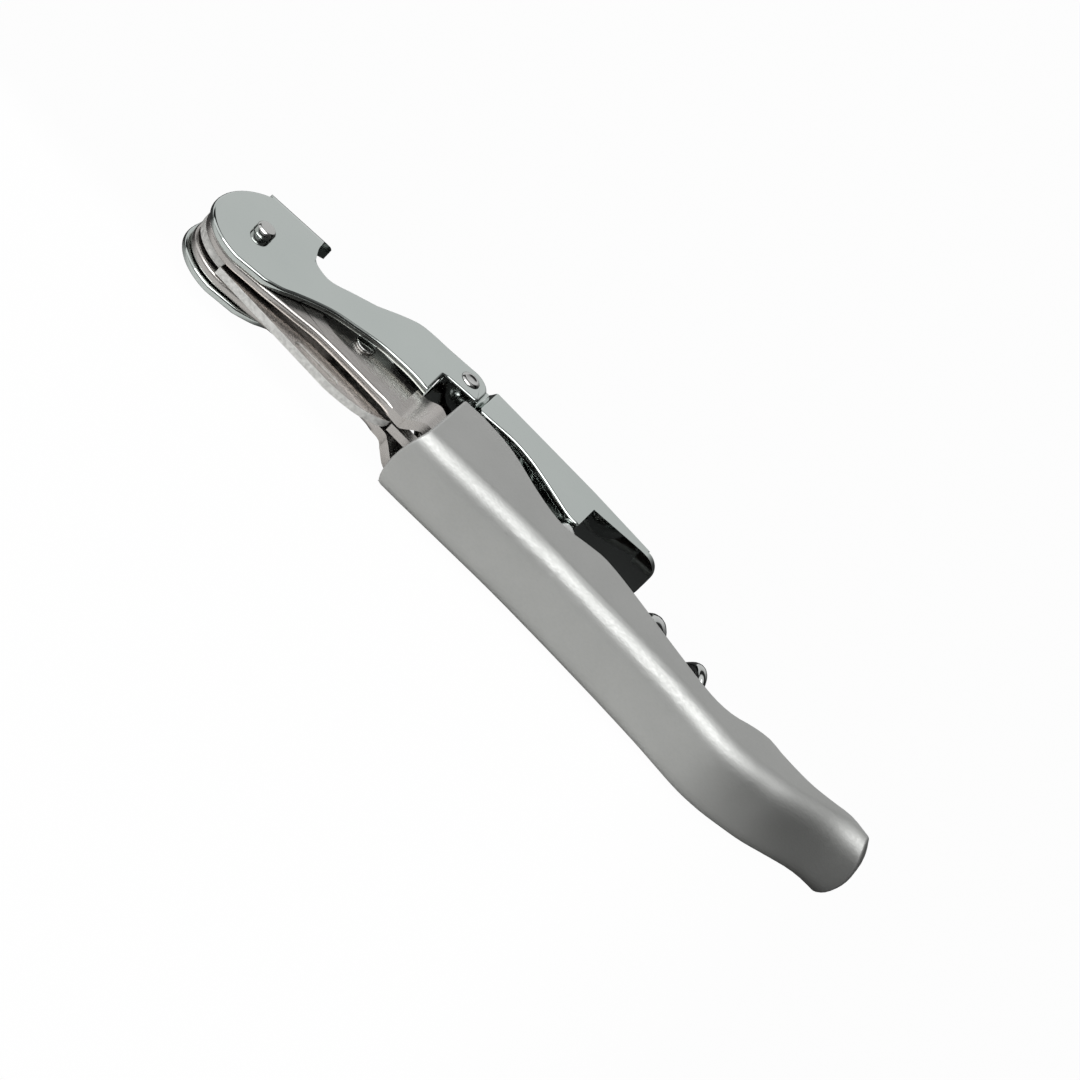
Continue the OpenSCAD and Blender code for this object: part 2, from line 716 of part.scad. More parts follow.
module lever_arm() {
    base = [pivot_x, pivot_y];
    size = [arm_len, arm_rise];
    lip_from = [shoulder_r, arm_head_r] + shoulder_r * [cos(shoulder_turn), sin(shoulder_turn)];
    lip_to = at(base, size, [cap_notch_shares[0]])[0];
    back_y = joint_y + ear_r;
    color("#c0c2c2") bench() difference() {
        union() {
            both_sides(plate_in, plate_out) arm_side();
            lip(lip_from, lip_to);
            intersection() {
                slab(-plate_in - lever_t / 2, plate_in + lever_t / 2) difference() {
                    arm_side();
                    translate([0, -lever_t]) arm_side();
                }
                translate([pivot_x + arm_len * web_two_shares[0], pivot_y, -shell_half])
                    cube([arm_len * (web_two_shares[1] - web_two_shares[0]), back_y, shell_w]);
            }
            intersection() {
                slab(-plate_in - lever_t / 2, plate_in + lever_t / 2) difference() {
                    arm_side();
                    translate([0, lever_t * flange_thin]) arm_side();
                }
                translate([pivot_x + arm_len * flange_shares[0], pivot_y + arm_rise / 2, -shell_half])
                    cube([arm_len * (flange_shares[1] - flange_shares[0]), arm_rise / 2, shell_w]);
            }
        }
        pin_hole(pivot_x, pivot_y, rivet_r + fit_gap, shell_half);
        pin_hole(joint_x, joint_y, rivet_r + fit_gap, shell_half);
    }
}

// A plate of the foot arm from the side
module foot_side() {
    base = [joint_x, joint_y];
    size = [foot_len, foot_h];
    polygon(concat(
        arc_points(base, foot_ear_r, 90, 290, 20),
        curve_points(at(base, size, foot_belly_shares), 4),
        at(base, size, lip_shares),
        at(base, size, foot_end_shares),
        [[joint_x, foot_top]]
    ));
}

// How far the plates have stepped out to the lever's width, along the joggle
function swell(i) = (lever_t + fit_gap) * ease(i / joggle_steps);

function joggle_x(i) =
    joint_x + foot_len * (joggle_shares[0] + (joggle_shares[1] - joggle_shares[0]) * i / joggle_steps);

// The ears sit inside the lever arm's ears and step out to its width
module foot_from_above() {
    lead = lever_t * 0.3;
    polygon(concat(
        [[joint_x - ear_r - cut, ear_in + lever_t]],
        [for (i = [0 : joggle_steps]) [joggle_x(i), ear_in + lever_t + swell(i)]],
        [[joint_x + foot_len, plate_out], [joint_x + foot_len, plate_in]],
        [for (i = [joggle_steps : -1 : 0]) [joggle_x(i) + lead, ear_in + swell(i)]],
        [[joint_x - ear_r - cut, ear_in]]
    ));
}

// The web from above: between the ears, out to the full width, and round at the tongue's corners
module foot_web_from_above() {
    polygon(concat(
        [[joint_x + foot_len * foot_web_share, 0], [joint_x + foot_len * foot_web_share, ear_in + lever_t]],
        [for (i = [0 : joggle_steps]) [joggle_x(i), ear_in + lever_t + swell(i)]],
        arc_points([joint_x + foot_len - tongue_round, plate_out - tongue_round], tongue_round, 90, 0, 12),
        [[joint_x + foot_len, 0]]
    ));
}

// The web from the side: along the back, down to the second step and out along the tongue
module foot_web_side() {
    x_drop = joint_x + foot_len * drop_shares[0];
    x_step = joint_x + foot_len * drop_shares[1];
    under = at([joint_x, joint_y], [foot_len, foot_h], lip_shares);
    polygon([
        [joint_x, foot_top], [x_drop, foot_top], [x_step, under[0][1] + lever_t],
        under[1] + [0, lever_t], [joint_x + foot_len, under[1][1] + lever_t],
        [joint_x + foot_len, under[1][1]], under[1], under[0],
        [x_step - lever_t, under[0][1]], [x_drop - lever_t / 2, foot_top - lever_t], [joint_x, foot_top - lever_t],
    ]);
}

module foot_arm() {
    color("#c4c6c6") bench() difference() {
        union() {
            intersection() {
                slab(-plate_out, plate_out) foot_side();
                upright(joint_y - foot_h, foot_top) {
                    foot_from_above();
                    mirror([0, 1]) foot_from_above();
                }
            }
            intersection() {
                slab(-plate_out, plate_out) foot_web_side();
                upright(joint_y - foot_h, foot_top) {
                    foot_web_from_above();
                    mirror([0, 1]) foot_web_from_above();
                }
            }
        }
        pin_hole(joint_x, joint_y, rivet_r + fit_gap, shell_half);
    }
}

handle_shell();
frame();
head_rivet();
worm_pin();
knife_shim_near();
knife_shim_far();
knife_blade();
worm();
lever_arm();
joint_rivet();
foot_arm();
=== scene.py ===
"""Two-step waiter's corkscrew, folded shut: its looks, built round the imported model.

Every piece is in metres in the row frame: X runs from the rounded head to the tail,
Y from the spine to the belly, and Z up from the face that the tool rests on. The sizes
of pieces are in millimetres on the drawing's bench, as in the part's source.
"""

import logging
import math
from collections.abc import Callable, Iterable
from dataclasses import dataclass
from enum import Enum

import bmesh
import bpy
from mathutils import Matrix, Vector


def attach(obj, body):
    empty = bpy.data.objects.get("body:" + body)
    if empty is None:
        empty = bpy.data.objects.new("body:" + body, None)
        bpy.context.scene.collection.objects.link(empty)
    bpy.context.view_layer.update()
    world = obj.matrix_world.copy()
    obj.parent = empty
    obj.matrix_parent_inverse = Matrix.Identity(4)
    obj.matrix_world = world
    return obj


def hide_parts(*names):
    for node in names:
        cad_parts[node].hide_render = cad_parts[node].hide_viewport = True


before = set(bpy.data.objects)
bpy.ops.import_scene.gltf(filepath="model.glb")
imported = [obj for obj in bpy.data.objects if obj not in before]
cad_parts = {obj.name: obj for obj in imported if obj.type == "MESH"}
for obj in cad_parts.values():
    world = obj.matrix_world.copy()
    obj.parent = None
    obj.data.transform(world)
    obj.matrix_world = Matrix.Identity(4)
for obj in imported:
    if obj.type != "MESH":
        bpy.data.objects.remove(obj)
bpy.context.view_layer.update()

log = logging.getLogger("corkscrew")

MM = 0.001
# Where the bench origin of the drawing lies in the row frame, in metres
BENCH = Vector((-0.060, -0.0105996, 0.0057))
# Points of a mesh that are closer than this are one, in metres, and faces that turn less than this are flat
MERGE_M = 2e-6
FLAT_DEG = 0.5
# Faces whose normals are this close to the rivets' direction lie square to them
SQUARE = 0.99999
# A mix of colours takes its share at input 0 and its colours at 6 and 7, and gives its result at output 2
COLOUR_MIX = {"data_type": "RGBA"}
# Most of a noise lies between these heights
NOISE_SPAN = (0.3, 0.7)
# An edge is painted paler, as a painted highlight and as wear, from the first of these pointinesses and most
# at the second, towards this colour
WEAR_AND_HIGHLIGHT_SPAN = (0.52, 0.6)
WEAR_AND_HIGHLIGHT = "#F2F2F0"
# A polishing line is this many times longer than the lines are apart, and leans this far from X
LINE_STRETCH = 30
LINE_LEAN_DEG = 7


class Body(Enum):
    """The bodies that move against each other."""

    HANDLE = "handle"
    LEVER = "lever"
    FOOT = "foot"
    WORM = "worm_screw"
    KNIFE = "knife"


class Slot(Enum):
    """The material slots."""

    SHELL = "shell"
    FRAME = "frame"
    RIVETS = "rivets"
    SHIMS = "shims"
    BLADE = "blade"
    WORM = "worm"
    LEVER = "lever"


def bench(x: float, y: float, z: float) -> Vector:
    """A point of the drawing, in millimetres, as a point in the row frame.

    Args:
        x: Distance from the head end.
        y: Height over the spine plane.
        z: Distance from the mid-plane, positive towards the near side.

    Returns:
        The point in metres.
    """
    return BENCH + Vector((x, y, z)) * MM


def linear(hex_colour: str) -> tuple[float, float, float, float]:
    """Turns an sRGB hex value into linear light.

    Args:
        hex_colour: Six hex digits, with or without a leading hash.

    Returns:
        Red, green, blue and an alpha of one.
    """
    digits = hex_colour.lstrip("#")
    channels = []
    for start in (0, 2, 4):
        value = int(digits[start : start + 2], 16) / 255
        channels.append(value / 12.92 if value <= 0.04045 else ((value + 0.055) / 1.055) ** 2.4)
    return channels[0], channels[1], channels[2], 1.0


def add_node(
    tree: bpy.types.NodeTree,
    kind: str,
    settings: dict[str, object] | None = None,
    **inputs: object,
) -> bpy.types.Node:
    """Adds a node with its settings, and sets or links its inputs.

    Args:
        tree: The node tree that gets the node.
        kind: The node's type name.
        settings: Attributes of the node, such as its operation.
        **inputs: Input names, with spaces as underscores, or numbered as i0, i1.
            A value is set on the socket, and an output socket is linked to it.

    Returns:
        The new node.
    """
    node = tree.nodes.new(kind)
    for name, value in (settings or {}).items():
        setattr(node, name, value)
    for name, value in inputs.items():
        is_number = name[0] == "i" and name[1:].isdigit()
        socket = node.inputs[int(name[1:])] if is_number else node.inputs[name.replace("_", " ")]
        if isinstance(value, bpy.types.NodeSocket):
            tree.links.new(value, socket)
        else:
            socket.default_value = value
    return node


@dataclass(frozen=True)
class MetalFinish:
    """A bare, plated or painted metal, with the fine texture that its last working left.

    Attributes:
        name: The material's name.
        colour: Its main colour.
        shade: The colour that its slow clouds mix in.
        roughness: How dull it is on average.
        rough_spread: How far the grain moves its dullness either way.
        grain_mm: Width of its grain.
        grain_stretch: How many times longer the grain is along X, Y and Z than its width.
        grain_depth_mm: Depth of its grain.
        cloud_mm: Width of its clouds.
        scratch_mm: Distance between its polishing lines, or 0 where it has none.
        scratch_depth_mm: Depth of its polishing lines.
        speckle_mm: Distance between its tool marks, or 0 where it has none.
        speckle_depth_mm: Depth of its tool marks.
        edge_wear_and_highlight: How far its outer edges are painted pale, as a painted highlight and as wear,
            from 0 to 1.
        metallic: Share of bare metal, less where paint or rough grinding scatters light.
    """

    name: str
    colour: str
    shade: str
    roughness: float
    rough_spread: float
    grain_mm: float
    grain_stretch: tuple[float, float, float]
    grain_depth_mm: float
    cloud_mm: float = 9.0
    scratch_mm: float = 0.0
    scratch_depth_mm: float = 0.0
    speckle_mm: float = 0.0
    speckle_depth_mm: float = 0.0
    edge_wear_and_highlight: float = 0.0
    metallic: float = 1.0

    def tint(self, tree: bpy.types.NodeTree, where: bpy.types.NodeSocket) -> bpy.types.NodeSocket:
        """Mixes the colour from slow clouds, with the outer edges painted pale as a highlight and as wear.

        Args:
            tree: The material's node tree.
            where: The place on the object.

        Returns:
            The colour.
        """
        clouds = add_node(
            tree,
            "ShaderNodeTexNoise",
            Vector=where,
            Scale=1 / (self.cloud_mm * MM),
            Detail=3.0,
        )
        clouded = add_node(
            tree,
            "ShaderNodeMix",
            COLOUR_MIX,
            i0=clouds.outputs["Fac"],
            i6=linear(self.colour),
            i7=linear(self.shade),
        )
        if not self.edge_wear_and_highlight:
            return clouded.outputs[2]
        # Outer edges painted pale by their pointiness: a painted highlight, with their wear
        wear_and_highlight = add_node(
            tree,
            "ShaderNodeMapRange",
            Value=add_node(tree, "ShaderNodeNewGeometry").outputs["Pointiness"],
            From_Min=WEAR_AND_HIGHLIGHT_SPAN[0],
            From_Max=WEAR_AND_HIGHLIGHT_SPAN[1],
            To_Max=self.edge_wear_and_highlight,
        )
        pale = add_node(
            tree,
            "ShaderNodeMix",
            COLOUR_MIX,
            i0=wear_and_highlight.outputs["Result"],
            i6=clouded.outputs[2],
            i7=linear(WEAR_AND_HIGHLIGHT),
        )
        return pale.outputs[2]

    def relief(
        self,
        tree: bpy.types.NodeTree,
        where: bpy.types.NodeSocket,
        grain: bpy.types.NodeSocket,
    ) -> bpy.types.NodeSocket:
        """Raises the grain, the polishing lines and the tool marks.

        Args:
            tree: The material's node tree.
            where: The place on the object.
            grain: The grain's height, from 0 to 1.

        Returns:
            The surface's normal.
        """
        bump = add_node(
            tree,
            "ShaderNodeBump",
            Height=grain,
            Strength=1.0,
            Distance=self.grain_depth_mm * MM,
        )
        if self.scratch_mm:
            across = 1 / (self.scratch_mm * MM)
            lines = add_node(
                tree,
                "ShaderNodeMapping",
                Vector=where,
                Rotation=(0.0, 0.0, math.radians(LINE_LEAN_DEG)),
                Scale=(across / LINE_STRETCH, across, across),
            )
            scratch = add_node(
                tree,
                "ShaderNodeTexNoise",
                Vector=lines.outputs[0],
                Scale=1.0,
                Detail=4.0,
            )
            bump = add_node(
                tree,
                "ShaderNodeBump",
                Height=scratch.outputs["Fac"],
                Strength=1.0,
                Distance=self.scratch_depth_mm * MM,
                Normal=bump.outputs["Normal"],
            )
        if self.speckle_mm:
            pits = add_node(
                tree,
                "ShaderNodeTexVoronoi",
                Vector=where,
                Scale=1 / (self.speckle_mm * MM),
            )
            bump = add_node(
                tree,
                "ShaderNodeBump",
                Height=pits.outputs["Distance"],
                Strength=1.0,
                Distance=self.speckle_depth_mm * MM,
                Normal=bump.outputs["Normal"],
            )
        return bump.outputs["Normal"]

    def build(self) -> bpy.types.Material:
        """Makes the material.

        Returns:
            The material, ready for a piece.
        """
        material = bpy.data.materials.new(self.name)
        material.use_nodes = True
        tree = material.node_tree
        tree.nodes.clear()
        where = add_node(tree, "ShaderNodeTexCoord").outputs["Object"]
        stretched = add_node(
            tree,
            "ShaderNodeMapping",
            Vector=where,
            Scale=tuple(1 / (self.grain_mm * MM * stretch) for stretch in self.grain_stretch),
        )
        grain = add_node(
            tree,
            "ShaderNodeTexNoise",
            Vector=stretched.outputs[0],
            Scale=1.0,
            Detail=2.0,
            Roughness=0.6,
        ).outputs["Fac"]
        rough = add_node(
            tree,
            "ShaderNodeMapRange",
            Value=grain,
            From_Min=NOISE_SPAN[0],
            From_Max=NOISE_SPAN[1],
            To_Min=max(self.roughness - self.rough_spread, 0.02),
            To_Max=self.roughness + self.rough_spread,
        )
        metal = add_node(
            tree,
            "ShaderNodeBsdfPrincipled",
            Metallic=self.metallic,
            Base_Color=self.tint(tree, where),
            Roughness=rough.outputs["Result"],
            Normal=self.relief(tree, where, grain),
        )
        add_node(tree, "ShaderNodeOutputMaterial", Surface=metal.outputs["BSDF"])
        return material


# Chrome plated on stamped sheet: a mirror, so a flat plate shows one even grey of what it faces.
# The real polishing lines are too fine to show, so they are drawn 0.25 mm apart.
CHROME = MetalFinish(
    name="chrome_plated_sheet",
    colour="#C9CFCC",
    shade="#C3CAC7",
    roughness=0.06,
    rough_spread=0.015,
    grain_mm=0.4,
    grain_stretch=(4, 1, 1),
    grain_depth_mm=0.0002,
    scratch_mm=0.25,
    scratch_depth_mm=0.0004,
)
# Metallic paint sprayed on drawn steel: a fine even satin with slow grey clouds, and its edges painted paler
# as a highlight and as wear.
# The paint's flakes are too fine to show, so its grain is drawn 0.3 mm wide.
SATIN = MetalFinish(
    name="satin_metallic_paint",
    colour="#BBBCBA",
    shade="#B1B2B0",
    roughness=0.5,
    rough_spread=0.06,
    grain_mm=0.3,
    grain_stretch=(1.5, 1, 1),
    grain_depth_mm=0.016,
    cloud_mm=6.0,
    # Its edges get a painted highlight, with their wear
    edge_wear_and_highlight=0.12,
    metallic=0.72,
)
# The inside of the shell's trough, painted dark brown as its shade, so that the chrome over it mirrors it as
# near black.
# Its grain is drawn in spots of 0.4 mm.
SHADED_INSIDE = MetalFinish(
    name="painted_shade_inside",
    colour="#3A2F2A",
    shade="#2A2320",
    roughness=0.5,
    rough_spread=0.1,
    grain_mm=0.4,
    grain_stretch=(3, 1, 1),
    grain_depth_mm=0.01,
    cloud_mm=6.0,
    metallic=0.6,
)
# Steel sheet, buffed after its pressing: brighter than paint and softer than the plated arms.
# The buffing wheel's lines are too fine to show, so they are drawn 0.3 mm apart.
BUFFED = MetalFinish(
    name="buffed_frame_steel",
    colour="#C8C6C4",
    shade="#B4AFAA",
    roughness=0.27,
    rough_spread=0.05,
    grain_mm=0.3,
    grain_stretch=(5, 1, 1),
    grain_depth_mm=0.0015,
    cloud_mm=5.0,
)
# Blade steel, ground rough across its back: it scatters the light to a bright streaky strip.
# Its marks stand 0.6 mm apart, as the photograph shows them. The lines between them are finer than
# can show, so they are drawn 0.22 mm apart.
GROUND = MetalFinish(
    name="ground_blade_steel",
    colour="#FAFAF7",
    shade="#A2A29F",
    roughness=0.42,
    rough_spread=0.12,
    grain_mm=0.22,
    grain_stretch=(1, 5, 5),
    grain_depth_mm=0.012,
    cloud_mm=0.5,
    speckle_mm=0.6,
    speckle_depth_mm=0.04,
    metallic=0.25,
)
# The same blade's flat sides, ground fine along the edge: they show soft dark and pale bars.
# The fine grit's lines don't show, so they are drawn 0.25 mm apart.
HONED = MetalFinish(
    name="honed_blade_sides",
    colour="#C9C6C3",
    shade="#B4AFAB",
    roughness=0.24,
    rough_spread=0.05,
    grain_mm=0.25,
    grain_stretch=(8, 1, 1),
    grain_depth_mm=0.001,
)
# Drawn steel wire, plated: a bright round mirror with the die's faint lines, which are drawn 0.4 mm apart
WIRE = MetalFinish(
    name="plated_worm_wire",
    colour="#CBCDCB",
    shade="#B8BAB9",
    roughness=0.1,
    rough_spread=0.03,
    grain_mm=0.4,
    grain_stretch=(3, 1, 1),
    grain_depth_mm=0.001,
)
# Soft steel rivets, their heads upset cold: bright, with shallow dents of about 0.2 mm from the die
RIVET = MetalFinish(
    name="bright_rivet_steel",
    colour="#D2D3D1",
    shade="#BDBDBB",
    roughness=0.12,
    rough_spread=0.04,
    grain_mm=0.2,
    grain_stretch=(1, 1, 1),
    grain_depth_mm=0.002,
)


def deselect() -> None:
    """Leaves nothing selected and no mode on."""
    if bpy.context.object is not None and bpy.context.object.mode != "OBJECT":
        bpy.ops.object.mode_set(mode="OBJECT")
    bpy.ops.object.select_all(action="DESELECT")


def make_active(piece: bpy.types.Object) -> None:
    """Selects one piece alone and makes it the active one.

    Args:
        piece: The piece to work on.
    """
    deselect()
    piece.select_set(True)
    bpy.context.view_layer.objects.active = piece


def apply_modifier(piece: bpy.types.Object, kind: str, **settings: object) -> None:
    """Adds a modifier with its settings and applies it.

    Args:
        piece: The piece that gets it.
        kind: The modifier's type name.
        **settings: The modifier's attributes.
    """
    make_active(piece)
    modifier = piece.modifiers.new(kind.lower(), kind)
    for name, value in settings.items():
        setattr(modifier, name, value)
    bpy.ops.object.modifier_apply(modifier=modifier.name)


def solid_copy(node: str, name: str) -> bpy.types.Object:
    """A closed copy of a node's mesh, with its flat faces whole again.

    Args:
        node: The CAD node.
        name: The new piece's name.

    Returns:
        The new piece, on no body yet.
    """
    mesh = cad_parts[node].data.copy()
    mesh.name = name
    mesh.materials.clear()
    piece = bpy.data.objects.new(name, mesh)
    bpy.context.scene.collection.objects.link(piece)
    if mesh.has_custom_normals:
        make_active(piece)
        bpy.ops.mesh.customdata_custom_splitnormals_clear()
    shape = bmesh.new()
    shape.from_mesh(mesh)
    bmesh.ops.remove_doubles(shape, verts=shape.verts, dist=MERGE_M)
    bmesh.ops.dissolve_limit(
        shape,
        angle_limit=math.radians(FLAT_DEG),
        verts=shape.verts,
        edges=shape.edges,
    )
    shape.to_mesh(mesh)
    shape.free()
    return piece


def round_edges(
    piece: bpy.types.Object,
    radius: Callable[[Vector, Vector], float],
    segments: int = 3,
    sharp_deg: float = 28.0,
) -> None:
    """Rounds the sharp edges of a piece, each by its own radius.

    Args:
        piece: The piece to round.
        radius: Gives the width in millimetres for an edge's two ends on the bench.
        segments: Faces across a rounded edge.
        sharp_deg: Edges flatter than this are left as they are.
    """
    mesh = piece.data
    low, high = ([pick(v.co[axis] for v in mesh.vertices) for axis in range(3)] for pick in (min, max))
    shape = bmesh.new()
    shape.from_mesh(mesh)
    weights = shape.edges.layers.float
    layer = weights.get("bevel_weight_edge") or weights.new("bevel_weight_edge")
    for edge in shape.edges:
        if edge.is_manifold and edge.is_convex and edge.calc_face_angle(0.0) > math.radians(sharp_deg):
            ends = [(v.co - BENCH) / MM for v in edge.verts]
            edge[layer] = min(max(radius(ends[0], ends[1]), 0.0), 1.0)
    shape.to_mesh(mesh)
    shape.free()
    # The full width is 1 mm, so an edge's weight is its width in millimetres
    apply_modifier(
        piece,
        "BEVEL",
        limit_method="WEIGHT",
        width=MM,
        segments=segments,
        use_clamp_overlap=False,
        loop_slide=True,
    )
    # A corner where wide edges meet can stand proud, so it is brought back into the piece's own box
    for vertex in piece.data.vertices:
        vertex.co = [min(max(vertex.co[axis], low[axis]), high[axis]) for axis in range(3)]


def smooth(piece: bpy.types.Object, angle_deg: float = 34.0) -> None:
    """Shades a piece smooth up to an angle, with its flat faces kept flat.

    Args:
        piece: The piece to shade.
        angle_deg: Edges sharper than this stay sharp.
    """
    make_active(piece)
    bpy.ops.object.shade_smooth_by_angle(angle=math.radians(angle_deg))
    apply_modifier(piece, "WEIGHTED_NORMAL", mode="FACE_AREA", weight=50, keep_sharp=True)


def hold_flats(piece: bpy.types.Object, least_mm2: float) -> None:
    """Gives each flat face one normal, so that a mirror finish shows no seam across it.

    Args:
        piece: The shaded piece.
        least_mm2: The smallest face that counts as flat, in square millimetres, unless
            it is square to the rivets.
    """
    mesh = piece.data
    normals = [Vector(corner.vector) for corner in mesh.corner_normals]
    for face in mesh.polygons:
        if face.area > least_mm2 * MM * MM or abs(face.normal.z) > SQUARE:
            for corner in face.loop_indices:
                normals[corner] = Vector(face.normal)
    mesh.normals_split_custom_set(normals)


def place(
    piece: bpy.types.Object,
    body: Body,
    finish: bpy.types.Material,
    nodes: Iterable[str],
) -> None:
    """Gives a finished piece its finish, its body and the nodes it stands for.

    Args:
        piece: The finished piece.
        body: The body that it moves with.
        finish: Its material.
        nodes: The CAD nodes that it stands for.
    """
    piece.data.materials.clear()
    piece.data.materials.append(finish)
    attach(piece, body.value)
    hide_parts(*nodes)
    log.info("%s: %d faces on %s", piece.name, len(piece.data.polygons), body.value)


def add_finish(
    piece: bpy.types.Object,
    finish: MetalFinish,
    chosen: Callable[[Vector, Vector], bool],
) -> None:
    """Gives some faces of a placed piece a second finish.

    Args:
        piece: The piece, with its first finish on it.
        finish: The second finish.
        chosen: Says from a face's middle on the bench and its direction whether it gets it.
    """
    piece.data.materials.append(finish.build())
    for face in piece.data.polygons:
        face.material_index = int(chosen((face.center - BENCH) / MM, face.normal))


@dataclass
class HandleShell:
    """The satin shell that the hand holds, open along the belly."""

    edge_mm: float = 0.28
    # From here to its end the tail is closed, and its edges are rounder
    tail_x: float = 116.0
    tail_mm: float = 0.3
    sharp_deg: float = 40.0
    # Faces of the trough lie nearer the mid-plane than this, and turn towards a line over the opening
    half_in: float = 4.75
    opening_y: float = 30.0
    # Faces whose normals run this far along X are ends, and along Y are the tail's rim
    end_share: float = 0.9
    rim_share: float = 0.95
    finish: MetalFinish = SATIN
    # The trough's inside is painted dark as shade
    inside: MetalFinish = SHADED_INSIDE

    def radius(self, a: Vector, b: Vector) -> float:
        """How far an edge between two bench points is rounded, in millimetres."""
        return self.tail_mm if min(a.x, b.x) > self.tail_x else self.edge_mm

    def faces_in(self, middle: Vector, way: Vector) -> bool:
        """Says whether a face lines the shell's trough.

        Args:
            middle: The face's middle on the bench.
            way: The face's normal.

        Returns:
            True for a face inside the trough.
        """
        to_opening = Vector((0, self.opening_y - middle.y, -middle.z))
        faces_opening = abs(middle.z) < self.half_in and way.dot(to_opening) > 0
        is_end = abs(way.x) >= self.end_share
        is_rim = way.y > self.rim_share and middle.x > self.tail_x
        return faces_opening and not is_end and not is_rim

    def build(self) -> None:
        """Makes the shell and puts it on the handle."""
        piece = solid_copy("handle_shell", "satin_shell")
        round_edges(piece, self.radius, sharp_deg=self.sharp_deg)
        smooth(piece, self.sharp_deg)
        place(piece, Body.HANDLE, self.finish.build(), ["handle_shell"])
        add_finish(piece, self.inside, self.faces_in)


@dataclass
class NeckFrame:
    """The pressed frame: two cheeks with rounded edges, swelling into the handle."""

    # The spine side has a wide bead as far as the cheeks swell out, and the head a narrower round
    bead_mm: float = 0.5
    bead_below_y: float = 7.0
    edge_mm: float = 0.35
    round_to_x: float = 35.2
    # Edges in the knife's slot, and those of the cheeks past the head, stay sharp
    slot_half: float = 0.9
    head_to_x: float = 17.5
    cheek_y: float = 5.2
    flat_mm2: float = 30.0
    finish: MetalFinish = BUFFED

    def radius(self, a: Vector, b: Vector) -> float:
        """How far an edge is rounded.

        Args:
            a: The edge's one end on the bench.
            b: Its other end.

        Returns:
            The width in millimetres.
        """
        middle = (a + b) / 2
        in_slot = min(abs(a.z), abs(b.z)) < self.slot_half
        on_cheek = middle.y > self.cheek_y and middle.x > self.head_to_x
        if in_slot or on_cheek or middle.x > self.round_to_x:
            return 0.0
        return self.bead_mm if middle.y < self.bead_below_y else self.edge_mm

    def build(self) -> None:
        """Makes the frame and puts it on the handle."""
        piece = solid_copy("frame", "pressed_frame")
        round_edges(piece, self.radius, segments=4)
        smooth(piece)
        hold_flats(piece, self.flat_mm2)
        place(piece, Body.HANDLE, self.finish.build(), ["frame"])


@dataclass
class LeverArm:
    """The plated arm with the cap lifter and the first step."""

    edge_mm: float = 0.38
    # Depths from the mid-plane of the plates' inner faces, with a slack for the mesh, and of their inner half
    plate_in: float = 2.55
    slack: float = 0.02
    inner_half: float = 0.5
    # The cap lifter's lip is sharp, and the round grows over a band about it
    lip_middle: tuple[float, float] = (11.3, 17.6)
    lip_above_y: float = 16.85
    lip_to_x: float = 14.0
    fade_from: float = 3.4
    fade_over: float = 1.6
    # The plates' inner edges are rounded on the belly alone, under a slanted line and before the first step
    belly_to_x: float = 36.5
    belly_below_y: float = 16.2
    slant_y: float = 10.0
    slant: float = 0.2
    flat_mm2: float = 3.0
    finish: MetalFinish = CHROME

    def radius(self, a: Vector, b: Vector) -> float:
        """How far an edge is rounded.

        Args:
            a: The edge's one end on the bench.
            b: Its other end.

        Returns:
            The width in millimetres.
        """
        middle = (a + b) / 2
        depth = min(abs(a.z), abs(b.z))
        on_lip = middle.y > self.lip_above_y and middle.x < self.lip_to_x
        if on_lip or depth < self.plate_in - self.slack:
            return 0.0
        below_slant = middle.y < self.slant_y + middle.x * self.slant
        on_belly = middle.y < self.belly_below_y and middle.x < self.belly_to_x and below_slant
        if depth < self.plate_in + self.inner_half and not on_belly:
            return 0.0
        away = math.hypot(middle.x - self.lip_middle[0], middle.y - self.lip_middle[1])
        return self.edge_mm * min(max((away - self.fade_from) / self.fade_over, 0.0), 1.0)

    def build(self) -> None:
        """Makes the lever arm and puts it on its body."""
        piece = solid_copy("lever_arm", "lever_arm_plates")
        round_edges(piece, self.radius, segments=4)
        smooth(piece)
        hold_flats(piece, self.flat_mm2)
        place(piece, Body.LEVER, self.finish.build(), ["lever_arm"])


@dataclass
class FootArm:
    """The plated arm with the second step and the tongue."""

    # Only the belly's outer edges, between the joint and the second step, are rounded
    edge_mm: float = 0.36
    plate_out: float = 2.5
    belly_below_y: float = 18.6
    belly_x: tuple[float, float] = (43.5, 62.8)
    flat_mm2: float = 3.0
    finish: MetalFinish = CHROME

    def radius(self, a: Vector, b: Vector) -> float:
        """How far an edge is rounded.

        Args:
            a: The edge's one end on the bench.
            b: Its other end.

        Returns:
            The width in millimetres.
        """
        middle = (a + b) / 2
        along_belly = middle.y < self.belly_below_y and self.belly_x[0] < middle.x < self.belly_x[1]
        return self.edge_mm if along_belly and min(abs(a.z), abs(b.z)) > self.plate_out else 0.0

    def build(self) -> None:
        """Makes the foot arm and puts it on its body."""
        piece = solid_copy("foot_arm", "foot_arm_channel")
        round_edges(piece, self.radius, segments=4)
        smooth(piece)
        hold_flats(piece, self.flat_mm2)
        place(piece, Body.FOOT, self.finish.build(), ["foot_arm"])


@dataclass
class Knife:
    """The foil blade and the two thin shims beside its tang."""

    edge_mm: float = 0.06
    shim_edge_mm: float = 0.02
    sharp_deg: float = 35.0
    # Faces whose normals run further than this along Z are the blade's sides
    side_share: float = 0.5
    finish: MetalFinish = GROUND
    sides: MetalFinish = HONED

    def build(self) -> None:
        """Makes the blade and the shims."""
        steel = self.finish.build()
        blade = solid_copy("knife_blade", "foil_blade")
        round_edges(blade, lambda a, b: self.edge_mm, segments=2, sharp_deg=self.sharp_deg)
        smooth(blade)
        place(blade, Body.KNIFE, steel, ["knife_blade"])
        add_finish(blade, self.sides, lambda middle, way: abs(way.z) > self.side_share)
        for side in ("near", "far"):
            shim = solid_copy(f"knife_shim_{side}", f"blade_shim_{side}")
            round_edges(shim, lambda a, b: self.shim_edge_mm, segments=2)
            smooth(shim)
            place(shim, Body.HANDLE, steel, [f"knife_shim_{side}"])


